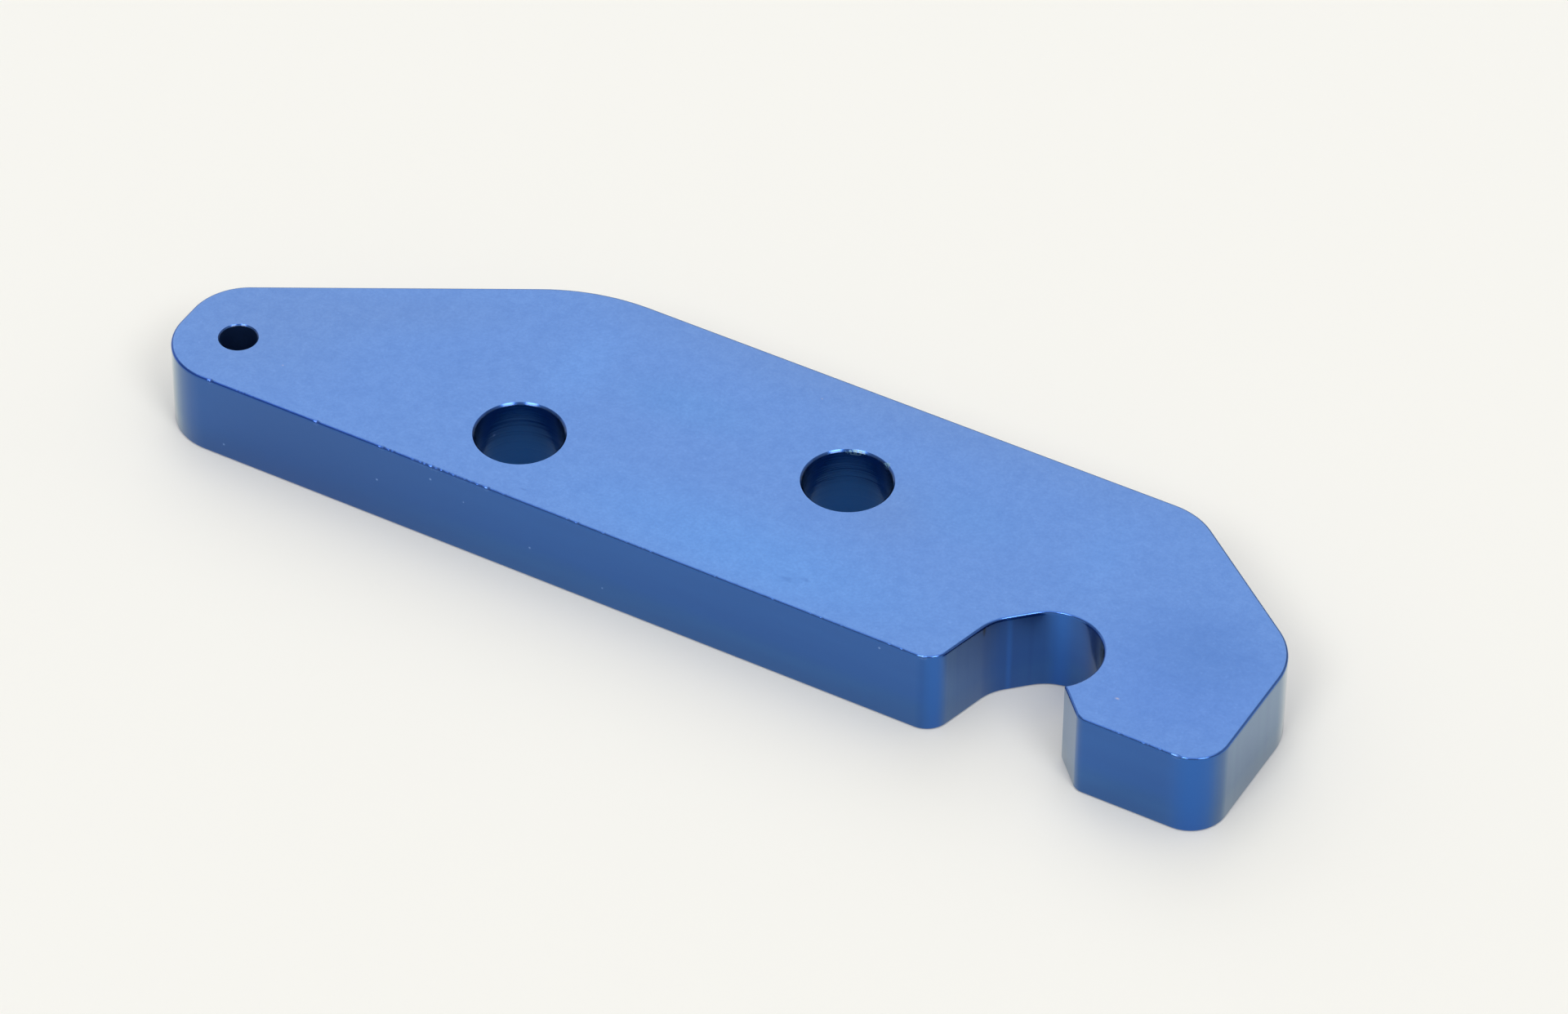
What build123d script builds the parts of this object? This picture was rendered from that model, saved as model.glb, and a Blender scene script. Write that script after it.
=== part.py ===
from build123d import *
import os
from math import cos, radians, sin, tan

# A flat hooked plate, milled from one slab and lying on its lower face.
# Sizes are in millimetres. While the plate is drawn, X runs from its left end along
# the straight front edge and Y from that edge towards the back.

# Slab
plate_length = 186.5
plate_depth = 49.5
plate_thickness = 15.0
edge_break = 0.3

# Ends: the height at which each upright end would meet the slope above it
left_end_height = 19.6
left_slope_angle = 29.5
right_end_height = 28.5
right_slope_angle = 37.7

# Rounded corners of the outline, going round from the front left
front_left_radius = 10.0
hook_front_radius = 6.0
right_end_radius = 12.0
right_shoulder_radius = 12.0
left_shoulder_radius = 35.0
left_end_radius = 10.0

# Hook: a round seat behind a slanting throat that opens through the front edge
seat_diameter = 16.4
seat_from_right_end = 32.8
seat_from_front = 11.1
throat_angle = 44.0
mouth_from_seat = 13.7
mouth_angle = 75.0
mouth_corner_radius = 4.0
throat_corner_radius = 8.0
nose_corner_radius = 2.5

# Two main bores and one small bore, all square to the faces
main_bore_diameter = 14.0
main_rim_chamfer = 0.4
left_bore_x = 59.8
left_bore_y = 13.5
right_bore_x = 109.0
right_bore_y = 29.2
small_bore_diameter = 6.0
small_rim_chamfer = 0.2
small_bore_x = 10.0
small_bore_y = 11.0


def run(height, angle):
    """Level length of a slope that gains this height."""
    return height / tan(radians(angle))


def rounded(face, corners):
    """Round the face's sharp corners, each one given as its place and its radius."""
    for place, radius in corners:
        corner = face.vertices().sort_by_distance(place)[0]
        face = fillet(corner, radius)
    return face


def drilled(plate, places, diameter, rim_chamfer):
    """Drill equal through holes and chamfer both rims of each."""
    drill = Cylinder(diameter / 2, plate_thickness, align=(Align.CENTER, Align.CENTER, Align.MIN))
    plate -= [Pos(*place) * drill for place in places]
    rims = [
        edge
        for edge in plate.edges().filter_by(GeomType.CIRCLE)
        if edge.is_closed and abs(edge.radius - diameter / 2) < 0.001
    ]
    return chamfer(rims, rim_chamfer)


# Blank: a long plate whose back edge falls away in a slope towards each end
left_shoulder_x = run(plate_depth - left_end_height, left_slope_angle)
right_shoulder_x = plate_length - run(plate_depth - right_end_height, right_slope_angle)
front_left = (0, 0)
front_right = (plate_length, 0)
right_end_top = (plate_length, right_end_height)
right_shoulder = (right_shoulder_x, plate_depth)
left_shoulder = (left_shoulder_x, plate_depth)
left_end_top = (0, left_end_height)
blank = make_face(
    Polyline(front_left, front_right, right_end_top, right_shoulder, left_shoulder, left_end_top, close=True)
)

# Notch: a steep wall rises from the mouth to a bend, then the throat's wall runs on until it
# touches the seat's circle. Opposite, the nose's face is square to the throat and points at
# the circle's centre.
seat_x = plate_length - seat_from_right_end
seat_radius = seat_diameter / 2
touch_x = seat_x - seat_radius * sin(radians(throat_angle))
touch_y = seat_from_front + seat_radius * cos(radians(throat_angle))
mouth_x = seat_x - mouth_from_seat
mouth_slope = tan(radians(mouth_angle))
throat_slope = tan(radians(throat_angle))
bend_x = (touch_y - touch_x * throat_slope + mouth_x * mouth_slope) / (mouth_slope - throat_slope)
bend_y = (bend_x - mouth_x) * mouth_slope
nose_angle = 90 - throat_angle
nose_x = seat_x + run(seat_from_front, nose_angle)
# The cut is drawn on past the front edge, by as much as the seat lies behind it
overrun = seat_from_front
notch = make_face(
    Polyline(
        (seat_x, seat_from_front),
        (touch_x, touch_y),
        (bend_x, bend_y),
        (mouth_x - run(overrun, mouth_angle), -overrun),
        (nose_x + run(overrun, nose_angle), -overrun),
        close=True,
    )
)
notch += Pos(seat_x, seat_from_front) * Circle(seat_radius)

outline = rounded(
    blank - notch,
    [
        (front_left, front_left_radius),
        ((mouth_x, 0), mouth_corner_radius),
        ((bend_x, bend_y), throat_corner_radius),
        ((nose_x, 0), nose_corner_radius),
        (front_right, hook_front_radius),
        (right_end_top, right_end_radius),
        (right_shoulder, right_shoulder_radius),
        (left_shoulder, left_shoulder_radius),
        (left_end_top, left_end_radius),
    ],
)

# Plate: the outline's depth is milled square, then both faces' edges are broken
plate = extrude(outline, plate_thickness)
lower_face = plate.faces().sort_by(Axis.Z)[0]
upper_face = plate.faces().sort_by(Axis.Z)[-1]
plate = chamfer(lower_face.edges() + upper_face.edges(), edge_break)

main_bores = [(left_bore_x, left_bore_y), (right_bore_x, right_bore_y)]
plate = drilled(plate, main_bores, main_bore_diameter, main_rim_chamfer)
plate = drilled(plate, [(small_bore_x, small_bore_y)], small_bore_diameter, small_rim_chamfer)

# The origin is the centre of the plate's bounding rectangle, on the lower face
flange_plate = Pos(-plate_length / 2, -plate_depth / 2, 0) * plate

os.makedirs("parts", exist_ok=True)
export_step(flange_plate, "parts/flange_plate.step")
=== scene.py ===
import random
from math import atan2, ceil, cos, exp, pi, radians, sin, tan

import bmesh
import bpy
from mathutils import Matrix, Vector, noise


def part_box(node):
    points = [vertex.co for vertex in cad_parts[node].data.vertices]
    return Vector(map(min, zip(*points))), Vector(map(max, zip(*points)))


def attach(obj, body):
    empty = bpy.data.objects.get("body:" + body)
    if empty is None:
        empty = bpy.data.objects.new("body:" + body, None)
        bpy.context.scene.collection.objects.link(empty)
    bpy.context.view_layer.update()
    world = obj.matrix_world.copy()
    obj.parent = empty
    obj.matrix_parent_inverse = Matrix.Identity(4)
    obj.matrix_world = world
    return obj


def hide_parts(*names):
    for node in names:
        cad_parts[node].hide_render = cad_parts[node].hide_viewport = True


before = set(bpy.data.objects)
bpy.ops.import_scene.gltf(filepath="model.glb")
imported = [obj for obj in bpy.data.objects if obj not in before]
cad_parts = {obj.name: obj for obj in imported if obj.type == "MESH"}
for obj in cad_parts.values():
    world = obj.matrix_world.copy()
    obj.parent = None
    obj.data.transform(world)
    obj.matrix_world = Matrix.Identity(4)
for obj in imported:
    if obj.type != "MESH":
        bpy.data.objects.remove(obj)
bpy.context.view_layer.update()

# The blank. The plate is one slab of aluminium, milled to a long outline whose back edge falls
# away towards both ends, with every upright corner rounded. Its hook is cut in from the front
# edge. Sizes are in millimetres from the front left corner, as on the maker's drawing.
MM = 0.001
plate_low, plate_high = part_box("flange_plate")
plate_length, plate_depth, plate_thickness = (plate_high - plate_low) / MM

left_end_height = 19.6
left_slope = radians(29.5)
right_end_height = 28.5
right_slope = radians(37.7)
front_left_radius = 10.0
hook_front_radius = 6.0
right_end_radius = 12.0
right_shoulder_radius = 12.0
left_shoulder_radius = 35.0
left_end_radius = 10.0

seat_from_right_end = 32.8
seat_from_front = 11.1
seat_radius = 8.2
throat_slope = radians(44)
mouth_from_seat = 13.7
mouth_slope = radians(75)
mouth_corner_radius = 4.0
throat_corner_radius = 8.0
nose_corner_radius = 2.5

# The drawing's points. The throat's wall touches the seat's circle, and the nose's face points at
# the circle's centre.
seat_centre = Vector((plate_length - seat_from_right_end, seat_from_front))
touch = seat_centre + seat_radius * Vector((-sin(throat_slope), cos(throat_slope)))
mouth = Vector((seat_centre.x - mouth_from_seat, 0))
rise = tan(mouth_slope)
climb = tan(throat_slope)
bend_x = (touch.y - touch.x * climb + mouth.x * rise) / (rise - climb)
bend = Vector((bend_x, (bend_x - mouth.x) * rise))
nose_tip = seat_centre + seat_radius * Vector((sin(throat_slope), -cos(throat_slope)))
nose = Vector((seat_centre.x + seat_from_front * tan(throat_slope), 0))
left_run = (plate_depth - left_end_height) / tan(left_slope)
right_run = (plate_depth - right_end_height) / tan(right_slope)
front_left = Vector((0, 0))
front_right = Vector((plate_length, 0))
right_end_top = Vector((plate_length, right_end_height))
right_shoulder = Vector((plate_length - right_run, plate_depth))
left_shoulder = Vector((left_run, plate_depth))
left_end_top = Vector((0, left_end_height))


def corner_arc(before, corner, after, radius):
    """Centre, first point and turn of the arc that rounds a corner of the outline."""
    inward = (corner - before).normalized()
    outward = (after - corner).normalized()
    turn = atan2(inward.cross(outward), inward.dot(outward))
    first = corner - inward * radius * tan(abs(turn) / 2)
    side = radius if turn > 0 else -radius
    return first + Vector((-inward.y, inward.x)) * side, first, turn


# Going round from the front left corner, with the metal on the left hand. The seat is half a
# circle, and its far end meets the nose's face squarely.
arcs = [
    corner_arc(left_end_top, front_left, mouth, front_left_radius),
    corner_arc(front_left, mouth, bend, mouth_corner_radius),
    corner_arc(mouth, bend, touch, throat_corner_radius),
    (seat_centre, touch, -pi),
    corner_arc(nose_tip, nose, front_right, nose_corner_radius),
    corner_arc(nose, front_right, right_end_top, hook_front_radius),
    corner_arc(front_right, right_end_top, right_shoulder, right_end_radius),
    corner_arc(right_end_top, right_shoulder, left_shoulder, right_shoulder_radius),
    corner_arc(right_shoulder, left_shoulder, left_end_top, left_shoulder_radius),
    corner_arc(left_shoulder, left_end_top, front_left, left_end_radius),
]

# The outline is swept in steps, and a column of the wall stands at each. They are fine along the
# front, whose upper edge has been knocked, and coarse elsewhere. The seat's steps are longer than
# the band along the edge is wide, so that the band turns the sharp nose tip without a fold.
arc_step = radians(2.5)
seat_step = radians(6)
fine_column = 0.15
coarse_column = 1.5
edge_round = 0.4
tolerance = 0.001
bm = bmesh.new()
last = bm.verts.new((*arcs[0][1], edge_round))
for (centre, _, turn), (_, following, _) in zip(arcs, arcs[1:] + arcs[:1]):
    steps = ceil(abs(turn) / (seat_step if centre is seat_centre else arc_step))
    swept = bmesh.ops.spin(
        bm, geom=[last], cent=(*centre, edge_round), axis=(0, 0, 1), angle=turn, steps=steps
    )
    last = swept["geom_last"][0]
    run = Vector((*following, edge_round)) - last.co
    on_front = last.co.y < tolerance and following.y < tolerance
    columns = ceil(run.length / (fine_column if on_front else coarse_column))
    swept = bmesh.ops.spin(bm, geom=[last], dvec=run / columns, axis=(0, 0, 1), steps=columns)
    last = swept["geom_last"][0]
bmesh.ops.remove_doubles(bm, verts=bm.verts[:], dist=tolerance)
outline = bmesh.ops.contextual_create(bm, geom=bm.edges[:])["faces"][0]

# The slab is raised from its outline in a few courses, closer together near the upper edge.
# Tumbling has rounded off both faces' edges, and a narrow band inside them keeps the faces flat.
# The band's inner border is left a little uneven: points in one straight line would fill badly.
courses = [5.0, 10.0, 13.0, 14.0, 14.3, plate_thickness - edge_round]
rounding = [radians(degrees) for degrees in (0, 18, 36, 54, 72, 90)]
band = 0.4
unevenness = 0.02
draw = random.Random(1)
lower_face = outline
upper_face = outline
for height in courses:
    below = upper_face
    raised = bmesh.ops.extrude_face_region(bm, geom=[below])
    upper_face = next(part for part in raised["geom"] if isinstance(part, bmesh.types.BMFace))
    for vert in upper_face.verts:
        vert.co.z = height
    if below is not lower_face:
        bmesh.ops.delete(bm, geom=[below], context="FACES_ONLY")
bmesh.ops.recalc_face_normals(bm, faces=bm.faces[:])
for face in (lower_face, upper_face):
    for start, end in zip(rounding, rounding[1:]):
        bmesh.ops.inset_region(
            bm,
            faces=[face],
            thickness=edge_round * (cos(start) - cos(end)),
            depth=edge_round * (sin(end) - sin(start)),
            use_even_offset=True,
            use_boundary=True,
        )
    bmesh.ops.inset_region(
        bm, faces=[face], thickness=band, use_even_offset=True, use_boundary=True
    )
    for vert in face.verts:
        vert.co.y += draw.uniform(-unevenness, unevenness)

# The bores. Two main bores of 14 mm clear the bolts and a small one takes a pin of 6 mm. They are
# drilled through and bored, which leaves a few rings on their walls, and their rims are
# chamfered. Each is a place, a radius, a chamfer and a seed for its rings.
main_radius = 7.0
small_radius = 3.0
small_chamfer = 0.2
# The solids have 0.4 mm on the main rims. The real ones catch the light in a narrower line.
main_chamfer = 0.32
bores = [
    (Vector((59.8, 13.5)), main_radius, main_chamfer, 7),
    (Vector((109.0, 29.2)), main_radius, main_chamfer, 11),
    (Vector((10.0, 11.0)), small_radius, small_chamfer, 5),
]
rim_band = 0.5
ring_count = 6
first_ring = 1.5
ring_pitch = 2.1
ring_depth = 0.007
ring_width = 0.15
bore_steps = 144
rims = []
for centre, radius, chamfer, seed in bores:
    draw = random.Random(seed)
    profile = [(radius + chamfer + rim_band, 0), (radius + chamfer, 0), (radius, chamfer)]
    for ring in range(ring_count):
        height = first_ring + ring_pitch * ring + draw.uniform(-0.5, 0.5)
        depth = ring_depth * draw.uniform(0.4, 1)
        profile.append((radius, height - ring_width))
        profile.append((radius + depth, height))
        profile.append((radius, height + ring_width))
    profile += [(r, plate_thickness - z) for r, z in reversed(profile[:3])]
    verts = [bm.verts.new((centre.x + r, centre.y, z)) for r, z in profile]
    chain = [bm.edges.new(pair) for pair in zip(verts, verts[1:])]
    bmesh.ops.spin(
        bm,
        geom=verts + chain,
        cent=(*centre, 0),
        axis=(0, 0, 1),
        angle=2 * pi,
        steps=bore_steps,
        use_merge=True,
    )
    rims.append((centre, radius + chamfer + rim_band))


def on_rim(edge, height):
    """True for an edge of a bore's outermost circle at this height."""
    for centre, radius in rims:
        reach = [abs((vert.co.xy - centre).length - radius) for vert in edge.verts]
        at_height = all(abs(vert.co.z - height) < tolerance for vert in edge.verts)
        if max(reach) < tolerance and at_height:
            return True
    return False


for face, height in ((lower_face, 0), (upper_face, plate_thickness)):
    border = face.edges[:]
    bmesh.ops.delete(bm, geom=[face], context="FACES_ONLY")
    circles = [edge for edge in bm.edges if edge.is_boundary and on_rim(edge, height)]
    bmesh.ops.triangle_fill(bm, edges=border + circles, use_beauty=True)

# Wear on the front edge. The sharp upper edge has taken knocks, which widened its broken edge
# here and there. Each knock is a place along the edge, a width and a depth. The small ones come
# in stretches, each with its start, its end, their number and the deepest one's depth.
knocks = [
    (11.7, 0.3, 0.14),
    (31.2, 0.3, 0.14),
    (62.0, 0.3, 0.12),
    (138.2, 0.7, 0.10),
    (140.2, 0.5, 0.12),
    (180.8, 0.6, 0.12),
    (185.2, 0.6, 0.10),
]
small_knocks = [
    (50, 63, 16, 0.05),
    (33, 50, 6, 0.05),
    (14, 137, 28, 0.035),
    (167, 180, 4, 0.04),
]
draw = random.Random(3)
for low, high, number, deepest in small_knocks:
    for _ in range(number):
        place = draw.uniform(low, high)
        width = draw.uniform(0.15, 0.35)
        depth = draw.uniform(0.02, deepest)
        knocks.append((place, width, depth))

# The plate's points keep how worn they are, and whether they lie in a bore, for the finish.
full_wear = 0.16
ripple = 0.02
ripples_per_mm = 0.8
wear = bm.verts.layers.float.new("wear")
bored = bm.verts.layers.float.new("bored")
drilled = bm.verts.layers.float.new("drilled")
for vert in bm.verts:
    x, y, z = vert.co
    inside = [
        (vert.co.xy - centre).length < radius + chamfer - tolerance
        for centre, radius, chamfer, _ in bores
    ]
    vert[bored] = any(inside)
    vert[drilled] = inside[-1]
    if y > edge_round + tolerance or z < plate_thickness - edge_round - tolerance:
        continue
    dent = sum(depth * exp(-(((x - place) / width) ** 2)) for place, width, depth in knocks)
    vert[wear] = min(1, dent / full_wear)
    dent += ripple * noise.noise(Vector((x * ripples_per_mm, 0, 0)))
    vert.co.y += dent * (z - plate_thickness + edge_round) / edge_round
    vert.co.z -= dent * (edge_round - y) / edge_round

sharp_edge = radians(20)
bmesh.ops.recalc_face_normals(bm, faces=bm.faces[:])
bmesh.ops.scale(bm, vec=(MM, MM, MM), verts=bm.verts[:])
bmesh.ops.translate(bm, vec=plate_low, verts=bm.verts[:])
for face in bm.faces:
    face.smooth = True
for edge in bm.edges:
    edge.smooth = len(edge.link_faces) == 2 and edge.calc_face_angle(0) < sharp_edge
mesh = bpy.data.meshes.new("hooked_plate")
bm.to_mesh(mesh)
bm.free()
plate = bpy.data.objects.new("hooked_plate", mesh)
bpy.context.scene.collection.objects.link(plate)
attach(plate, "root")
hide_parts("flange_plate")

# The finish. The milled plate is tumbled, dyed blue and sealed: bright metal under a clear hard
# skin. Its faces are paler and a little cloudy. Its milled walls are a deeper blue, partly for
# their finish and partly as painted shade for the shadowed floor that they mirror.
face_blue = (0.098, 0.223, 0.540, 1)
brown_cloud = (0.101, 0.211, 0.492, 1)
teal_cloud = (0.088, 0.223, 0.542, 1)
bright_cloud = (0.092, 0.244, 0.592, 1)
pale_cloud = (0.101, 0.240, 0.580, 1)
deep_cloud = (0.070, 0.180, 0.480, 1)
violet_cloud = (0.080, 0.195, 0.525, 1)
mottled_blue = (0.005, 0.080, 0.340, 1)
# The walls' blue is deeper partly as painted shade.
wall_blue = (0.015, 0.106, 0.378, 1)
wall_deep = (0.006, 0.068, 0.285, 1)
# Painted shade for the far side of the hook's seat.
seat_painted_shade = (0.003, 0.040, 0.190, 1)
# Painted reflection: brighter bands at the hook's and mouth's corners and a spot in the seat. It
# also tints one pale streak down the throat.
corner_blue = (0.012, 0.122, 0.465, 1)
dull_blue = (0.0175, 0.095, 0.335, 1)
# Painted reflection: the walls' foot is tinted redder, like the floor it mirrors.
foot_painted_reflection = (0.020, 0.118, 0.370, 1)
# Painted reflection: the greyer blue of walls that face the ends and mirror the pale floor.
end_painted_reflection = (0.045, 0.130, 0.305, 1)
bore_blue = (0.012, 0.132, 0.405, 1)
rim_blue = (0.006, 0.042, 0.165, 1)
rim_deep = (0.001, 0.013, 0.045, 1)
edge_blue = (0.048, 0.155, 0.520, 1)
# Painted shade for the broken edge towards the left end.
edge_painted_shade = (0.014, 0.092, 0.500, 1)
drilled_blue = (0.050, 0.125, 0.330, 1)
worn_blue = (0.22, 0.40, 0.80, 1)
bare_metal = (0.18, 0.36, 0.54, 1)
pale_dust = (0.34, 0.32, 0.42, 1)
anodised = bpy.data.materials.new("blue_anodised")
anodised.use_nodes = True
shader = anodised.node_tree.nodes["Principled BSDF"]
shader.inputs["Metallic"].default_value = 1
shader.inputs["Coat Weight"].default_value = 1
shader.inputs["Coat Roughness"].default_value = 0.12
shader.inputs["Coat IOR"].default_value = 1.36
shader.inputs["Specular Tint"].default_value = (0.76, 0.87, 0.82, 1)
mesh.materials.append(anodised)


def node(kind, feeds=None, **settings):
    """Add a node to the finish. Feeds has each socket's value, or the output to link to it."""
    made = anodised.node_tree.nodes.new("ShaderNode" + kind)
    for name, value in settings.items():
        setattr(made, name, value)
    for name, value in (feeds or {}).items():
        if isinstance(value, bpy.types.NodeSocket):
            anodised.node_tree.links.new(value, made.inputs[name])
        else:
            made.inputs[name].default_value = value
    return made


def grain(size, stretch=(1, 1, 1), detail=2.0):
    """Soft random pattern, about 0 to 1, with patches of this size in millimetres."""
    mapped = node("Mapping", {"Vector": spot, "Scale": stretch})
    feeds = {"Vector": mapped.outputs[0], "Scale": 1 / (size * MM), "Detail": detail}
    return node("TexNoise", feeds).outputs["Fac"]


def between(value, low, high):
    """Turn the range low to high of a value smoothly into 0 to 1."""
    feeds = {"Value": value, "From Min": low, "From Max": high}
    return node("MapRange", feeds, interpolation_type="SMOOTHSTEP").outputs["Result"]


def patch(x, y, half_length, half_width, turn=0.0, z=0.0, half_height=100.0):
    """Soft oval at a place on the drawing, 1 in its middle and 0 at its border.

    Without z it reaches through the plate's whole thickness.
    """
    middle = Vector((x, y, z)) * MM + plate_low
    size = (half_length * MM, half_width * MM, half_height * MM)
    feeds = {"Vector": spot, "Location": middle, "Rotation": (0, 0, radians(turn)), "Scale": size}
    mapped = node("Mapping", feeds, vector_type="TEXTURE")
    reach = node("VectorMath", {0: mapped.outputs[0]}, operation="LENGTH").outputs["Value"]
    return between(reach, 1, 0)


def mix(share, first, second):
    """Blend two colours by a share."""
    feeds = {"Factor": share, "A": first, "B": second}
    return node("Mix", feeds, data_type="RGBA").outputs["Result"]


def scaled(value, factor):
    """A value times a factor."""
    return node("Math", {0: value, 1: factor}, operation="MULTIPLY").outputs[0]


def unsigned(value):
    """A value without its sign."""
    return node("Math", {0: value}, operation="ABSOLUTE").outputs[0]


spot = node("TexCoord").outputs["Object"]
facing = node("SeparateXYZ", {0: node("NewGeometry").outputs["True Normal"]})
level = unsigned(facing.outputs["Z"])
on_face = between(level, 0.9, 0.95)
on_edge = between(level, 0.3, 0.5)
in_bore = node("Attribute", attribute_name="bored").outputs["Fac"]
in_small_bore = node("Attribute", attribute_name="drilled").outputs["Fac"]
worn = node("Attribute", attribute_name="wear").outputs["Fac"]

# The faces are clouded. The left end and the back edge are duller, greener clouds lie round the
# bores, a brighter one along the middle of the front, and a deep one over the hook. Each is a
# place, half a length, half a width, a turn, a colour and a share.
clouds = [
    (11, 17, 26, 26, 0, brown_cloud, 0.9),
    (27, 28, 32, 9, 29.5, brown_cloud, 0.7),
    (103, 50, 85, 12, 0, brown_cloud, 0.9),
    (118, 27, 12, 11, 0, brown_cloud, 0.8),
    (79, 32, 18, 8, 0, teal_cloud, 1.0),
    (129, 31, 15, 9, 0, teal_cloud, 0.6),
    (103, 7, 46, 15, 0, bright_cloud, 1.0),
    (60, 31, 8, 15, 0, pale_cloud, 1.0),
    (151, 33, 7, 15, 0, pale_cloud, 0.6),
    (175, 13, 24, 22, 0, violet_cloud, 1.0),
    (174, 22, 17, 15, 0, deep_cloud, 1.0),
]
face = mix(scaled(grain(9, detail=3.0), 0.3), face_blue, violet_cloud)
for x, y, half_length, half_width, turn, colour, share in clouds:
    face = mix(scaled(patch(x, y, half_length, half_width, turn), share), face, colour)

# Fine mottling covers the whole of both faces, in three sizes, with paler dots among it.
for size, share in ((4, 0.08), (1.5, 0.12), (0.5, 0.13)):
    face = mix(scaled(between(grain(size), 0.3, 0.7), share), face, mottled_blue)
dots = between(grain(0.6, detail=0.0), 0.70, 0.82)
face = mix(scaled(dots, 0.08), face, worn_blue)

# Single marks on the upper face, each with its place and half its size: smudges, most of them
# near the front edge, two specks of dust and a small bare pit on the nose.
smudges = [
    (112.2, 5.0, 1.6, 0.8),
    (114.6, 6.2, 1.2, 0.6),
    (67.1, 2.6, 1.0, 0.3),
    (105, 21.5, 0.5, 0.4),
]
for x, y, half_length, half_width in smudges:
    mark = scaled(patch(x, y, half_length, half_width), grain(0.7))
    face = mix(scaled(mark, 0.6), face, wall_deep)
dust = [(19.6, 8.8, 0.25), (96.3, 43.9, 0.25), (167.5, 6.6, 0.55)]
for x, y, size in dust:
    face = mix(scaled(patch(x, y, size, size * 0.6), 0.8), face, pale_dust)

# The walls keep the cutter's faint upright streaks where it turned in the hook and round the
# corners. Their foot and the walls facing the ends are painted other blues, a painted reflection
# of the floor they mirror. The left half of the front is duller. Paler, bluer bands at the hook's
# and the mouth's corners and in the seat are painted reflection. The throat's bend is painted
# darker and the seat's far side deepest, as painted shade, and one paler upright streak runs down
# the throat. Each shade is a place, half a width, a colour and a share.
streaks = grain(1.6, (1, 1, 0.02), 3.0)
layers = grain(2.5, (0.1, 0.1, 1), 3.0)
turned = between(unsigned(facing.outputs["Y"]), 0.999, 0.97)
endwise = between(unsigned(facing.outputs["X"]), 0.75, 0.95)
height = node("SeparateXYZ", {0: spot}).outputs["Z"]
# Painted reflection: the foot of the walls is painted a redder blue.
wall = mix(between(height, 7 * MM, 4 * MM), wall_blue, foot_painted_reflection)
# Painted reflection: walls facing the ends are painted greyer.
wall = mix(scaled(endwise, 0.8), wall, end_painted_reflection)
wall = mix(scaled(between(layers, 0.35, 0.65), 0.12), wall, wall_deep)
wall = mix(scaled(between(streaks, 0.4, 0.65), scaled(turned, 0.4)), wall, wall_deep)
shades = [
    (25, 0, 50, dull_blue, 1.0),
    # Painted reflection on the left end's rounded corner.
    (1, 5, 9, end_painted_reflection, 0.7),
    # Painted shade round the throat's bend, inside the hook.
    (bend.x, bend.y, 12, wall_deep, 0.6),
    # Painted shade on the seat's far side.
    (seat_centre.x + 5.6, seat_centre.y + 6, 5, seat_painted_shade, 1.0),
    # Painted reflection: paler bands at the hook's front corner, the mouth's corner and in the
    # seat.
    (183, 1.5, 5, corner_blue, 1.0),
    (140.3, 0.6, 3, corner_blue, 1.0),
    (seat_centre.x - 2, seat_centre.y + 8, 2.5, corner_blue, 1.0),
    (145.3, 14.4, 0.7, corner_blue, 0.7),
]
for x, y, size, colour, share in shades:
    wall = mix(scaled(patch(x, y, size, size), share), wall, colour)

# The cutter left one small nick at the throat's bend. The bores' rims took the dye unevenly. The
# broken edge is painted darker towards the left end, a painted shade. A few specks of dust lie
# on the walls, each with its place and half its size.
nick = patch(142.85, 10.7, 0.5, 0.5, z=14.0, half_height=1.7)
wall = mix(nick, wall, rim_deep)
wall = mix(in_bore, wall, bore_blue)
rim = mix(scaled(between(grain(0.6), 0.4, 0.6), 0.7), rim_blue, rim_deep)
# Painted shade: the broken edge darker towards the left end.
edge = mix(patch(15, 0, 75, 30), edge_blue, edge_painted_shade)
wall = mix(on_edge, wall, mix(in_bore, edge, rim))
wall = mix(in_small_bore, wall, drilled_blue)
specks = [
    (13.75, 0, 2.7, 0.3),
    (42.05, 0, 7.9, 0.3),
    (51.85, 0, 12.3, 0.3),
    (57.75, 0, 10.2, 0.2),
    (69.55, 0, 6.1, 0.3),
    (82.45, 0, 3.6, 0.25),
    (130.75, 0, 13.5, 0.3),
    (53.4, 16.3, 9.6, 0.45),
]
for x, y, z, size in specks:
    speck = patch(x, y, size, size, z=z, half_height=size)
    wall = mix(scaled(speck, 0.75), wall, worn_blue)

# Knocked edges are paler: worn metal, and partly a painted glint. On the right bore's rim some
# crumbs of metal took no dye.
colour = mix(on_face, wall, face)
colour = mix(scaled(worn, 0.3), colour, worn_blue)
behind = patch(106.9, 35.6, 2.4, 1.2, turn=20, z=14.6, half_height=0.8)
beside = patch(112.5, 35.5, 1.1, 1.0, z=14.6, half_height=0.8)
crumbed = node("Math", {0: behind, 1: beside}, operation="MAXIMUM").outputs[0]
bare = between(scaled(crumbed, between(grain(0.35), 0.42, 0.52)), 0.15, 0.35)
colour = mix(bare, colour, bare_metal)
anodised.node_tree.links.new(colour, shader.inputs["Base Color"])

# The milled walls are smoothest and the faces a little duller. Each further kind of surface lies
# over them with a roughness of its own.
wall_roughness = 0.18
face_roughness = 0.27
bore_roughness = 0.24
small_bore_roughness = 0.5
worn_roughness = 0.45
bare_roughness = 0.6
rough = wall_roughness
for share, roughness in (
    (on_face, face_roughness),
    (in_bore, bore_roughness),
    (in_small_bore, small_bore_roughness),
    (worn, worn_roughness),
    (bare, bare_roughness),
):
    rough = node("Mix", {"Factor": share, "A": rough, "B": roughness}).outputs["Result"]
anodised.node_tree.links.new(rough, shader.inputs["Roughness"])

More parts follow.
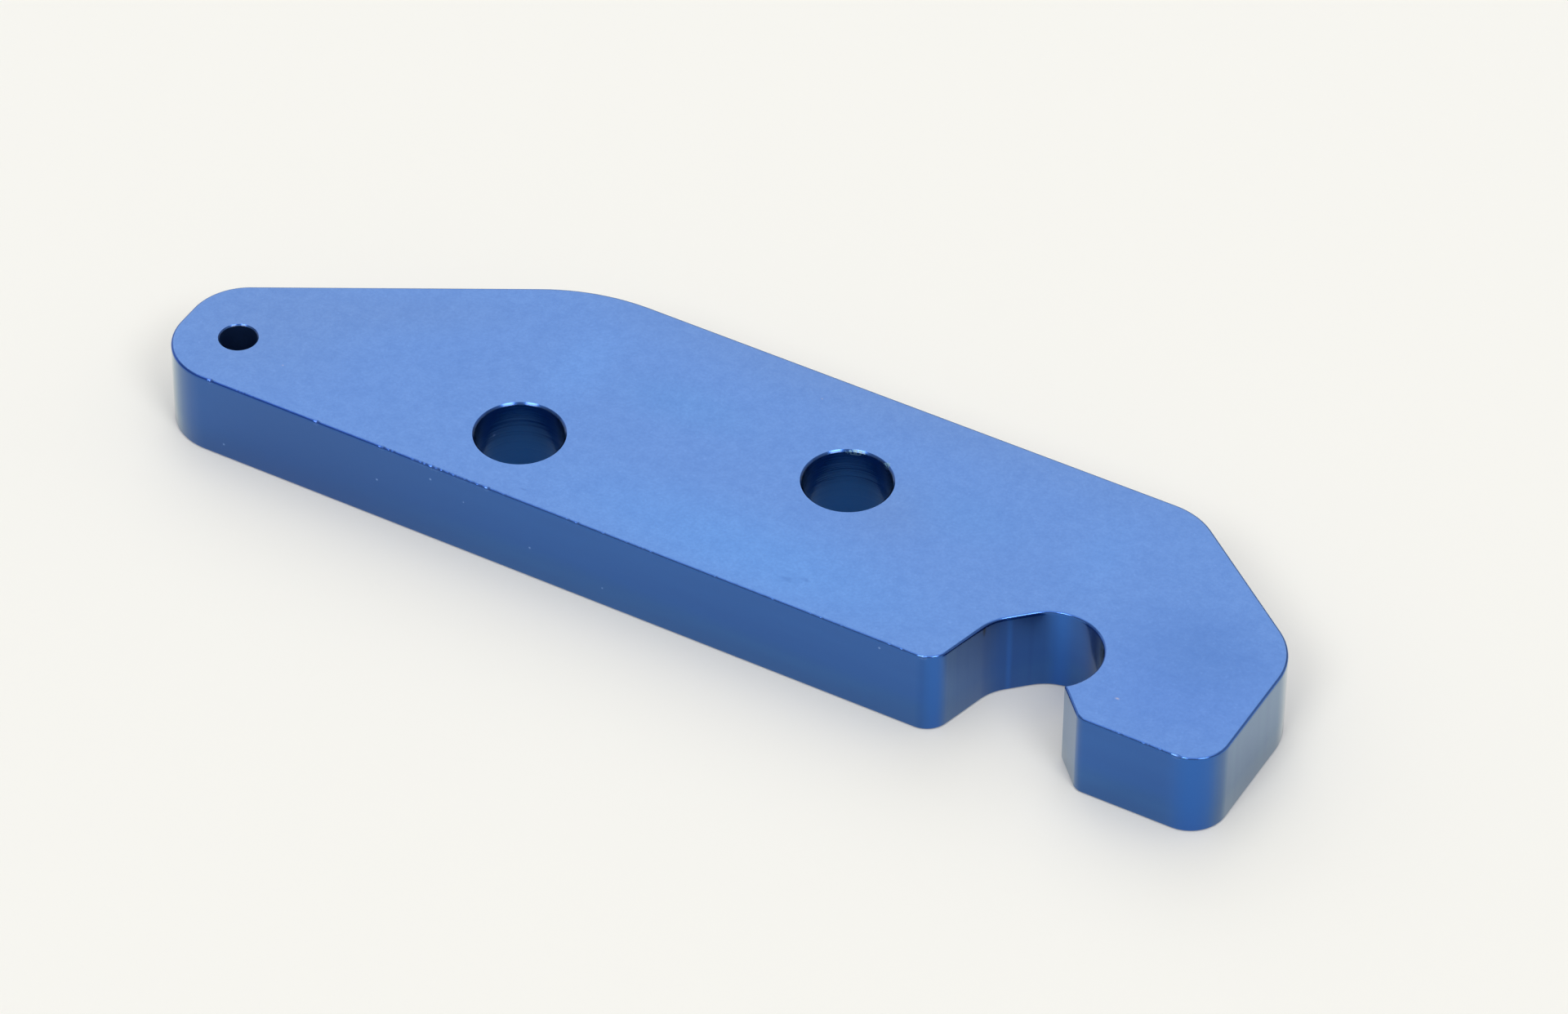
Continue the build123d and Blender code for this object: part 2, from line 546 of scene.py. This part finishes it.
# The whole skin is very slightly uneven. The streaks on the walls and the rings in the bores can
# just be felt.
peel_depth = 0.0015 * MM
streak_depth = 0.006 * MM
groove_depth = 0.02 * MM
grooves = grain(0.25, (0.02, 0.02, 1), 3.0)
feeds = {"Height": grain(0.9), "Strength": 1.0, "Distance": peel_depth}
relief = node("Bump", feeds).outputs[0]
for pattern, share, depth in ((streaks, turned, streak_depth), (grooves, in_bore, groove_depth)):
    feeds = {"Height": pattern, "Strength": share, "Distance": depth, "Normal": relief}
    relief = node("Bump", feeds).outputs[0]
anodised.node_tree.links.new(relief, shader.inputs["Normal"])
anodised.node_tree.links.new(relief, shader.inputs["Coat Normal"])

# The floor. A plain pale sheet under the plate, matt, and so wide that its border stays out of
# sight.
bm = bmesh.new()
bmesh.ops.create_circle(bm, cap_ends=True, radius=12, segments=96)
floor_mesh = bpy.data.meshes.new("floor")
bm.to_mesh(floor_mesh)
bm.free()
floor = bpy.data.objects.new("floor", floor_mesh)
bpy.context.scene.collection.objects.link(floor)
paper = bpy.data.materials.new("pale_sheet")
paper.use_nodes = True
sheet = paper.node_tree.nodes["Principled BSDF"]
sheet.inputs["Base Color"].default_value = (0.90, 0.89, 0.845, 1)
sheet.inputs["Roughness"].default_value = 1
sheet.inputs["Specular IOR Level"].default_value = 0
floor_mesh.materials.append(paper)

# Light. A dim room, a little brighter above, with six soft round lamps far away: one overhead, a
# large one behind on the left that the upper face mirrors, one each side of the camera, and two
# wide ones low behind, which the rounded edges mirror.
view_azimuth = 29.063
view_elevation = 41.774


def toward(azimuth, elevation):
    """Unit vector from the plate to a place round it. Azimuth 0 is in front, 90 on the right."""
    a, e = radians(azimuth), radians(elevation)
    return Vector((sin(a) * cos(e), -cos(a) * cos(e), sin(e)))


def soft_lamp(name, azimuth, elevation, half_angle, brightness):
    """A far round lamp, with its angles in degrees.

    Brightness is what a mirror that faces it would show.
    """
    lamp = bpy.data.lights.new(name, "SUN")
    lamp.angle = 2 * radians(half_angle)
    lamp.energy = brightness * pi * sin(radians(half_angle)) ** 2
    holder = bpy.data.objects.new(name, lamp)
    holder.rotation_euler = toward(azimuth, elevation).to_track_quat("Z", "Y").to_euler()
    bpy.context.scene.collection.objects.link(holder)


soft_lamp("overhead_lamp", 0, 90, 30, 0.84)
soft_lamp("key_lamp", 180 + view_azimuth, view_elevation, 20, 0.955)
soft_lamp("left_lamp", view_azimuth - 31, 46, 10, 6.6)
soft_lamp("right_lamp", view_azimuth + 31, 46, 10, 6.6)
soft_lamp("low_left_lamp", view_azimuth - 142, 5, 38, 0.35)
soft_lamp("low_right_lamp", view_azimuth + 101, 8, 25, 0.2)

# The room is dim up to one angle above the floor and brighter from another.
dim_up_to = radians(18)
bright_from = radians(42)
dim_room = 0.32
bright_room = 0.47
room = bpy.data.worlds.new("room")
room.use_nodes = True
tree = room.node_tree
upward = tree.nodes.new("ShaderNodeSeparateXYZ")
tree.links.new(tree.nodes.new("ShaderNodeTexCoord").outputs["Generated"], upward.inputs[0])
glow = tree.nodes.new("ShaderNodeMapRange")
glow.interpolation_type = "SMOOTHSTEP"
tree.links.new(upward.outputs["Z"], glow.inputs["Value"])
glow.inputs["From Min"].default_value = sin(dim_up_to)
glow.inputs["From Max"].default_value = sin(bright_from)
glow.inputs["To Min"].default_value = dim_room
glow.inputs["To Max"].default_value = bright_room
tree.links.new(glow.outputs[0], tree.nodes["Background"].inputs["Strength"])
tree.nodes["Background"].inputs["Color"].default_value = (1, 1, 1, 1)
bpy.context.scene.world = room
bpy.context.scene.view_settings.view_transform = "Standard"

# The camera. It stands in front on the right, over a metre away, and looks down on the upper face
# through a long lens.
aim = Vector((0.01032, -0.00574, 0.015))
distance = 1.15885
tilt = radians(0.640)
lens = bpy.data.cameras.new("camera")
lens.lens = 174.22
lens.sensor_width = 36
camera = bpy.data.objects.new("camera", lens)
back = toward(view_azimuth, view_elevation)
camera.location = aim + back * distance
look = (-back).to_track_quat("-Z", "Y").to_matrix() @ Matrix.Rotation(tilt, 3, "Z")
camera.rotation_euler = look.to_euler()
bpy.context.scene.collection.objects.link(camera)
bpy.context.scene.camera = camera
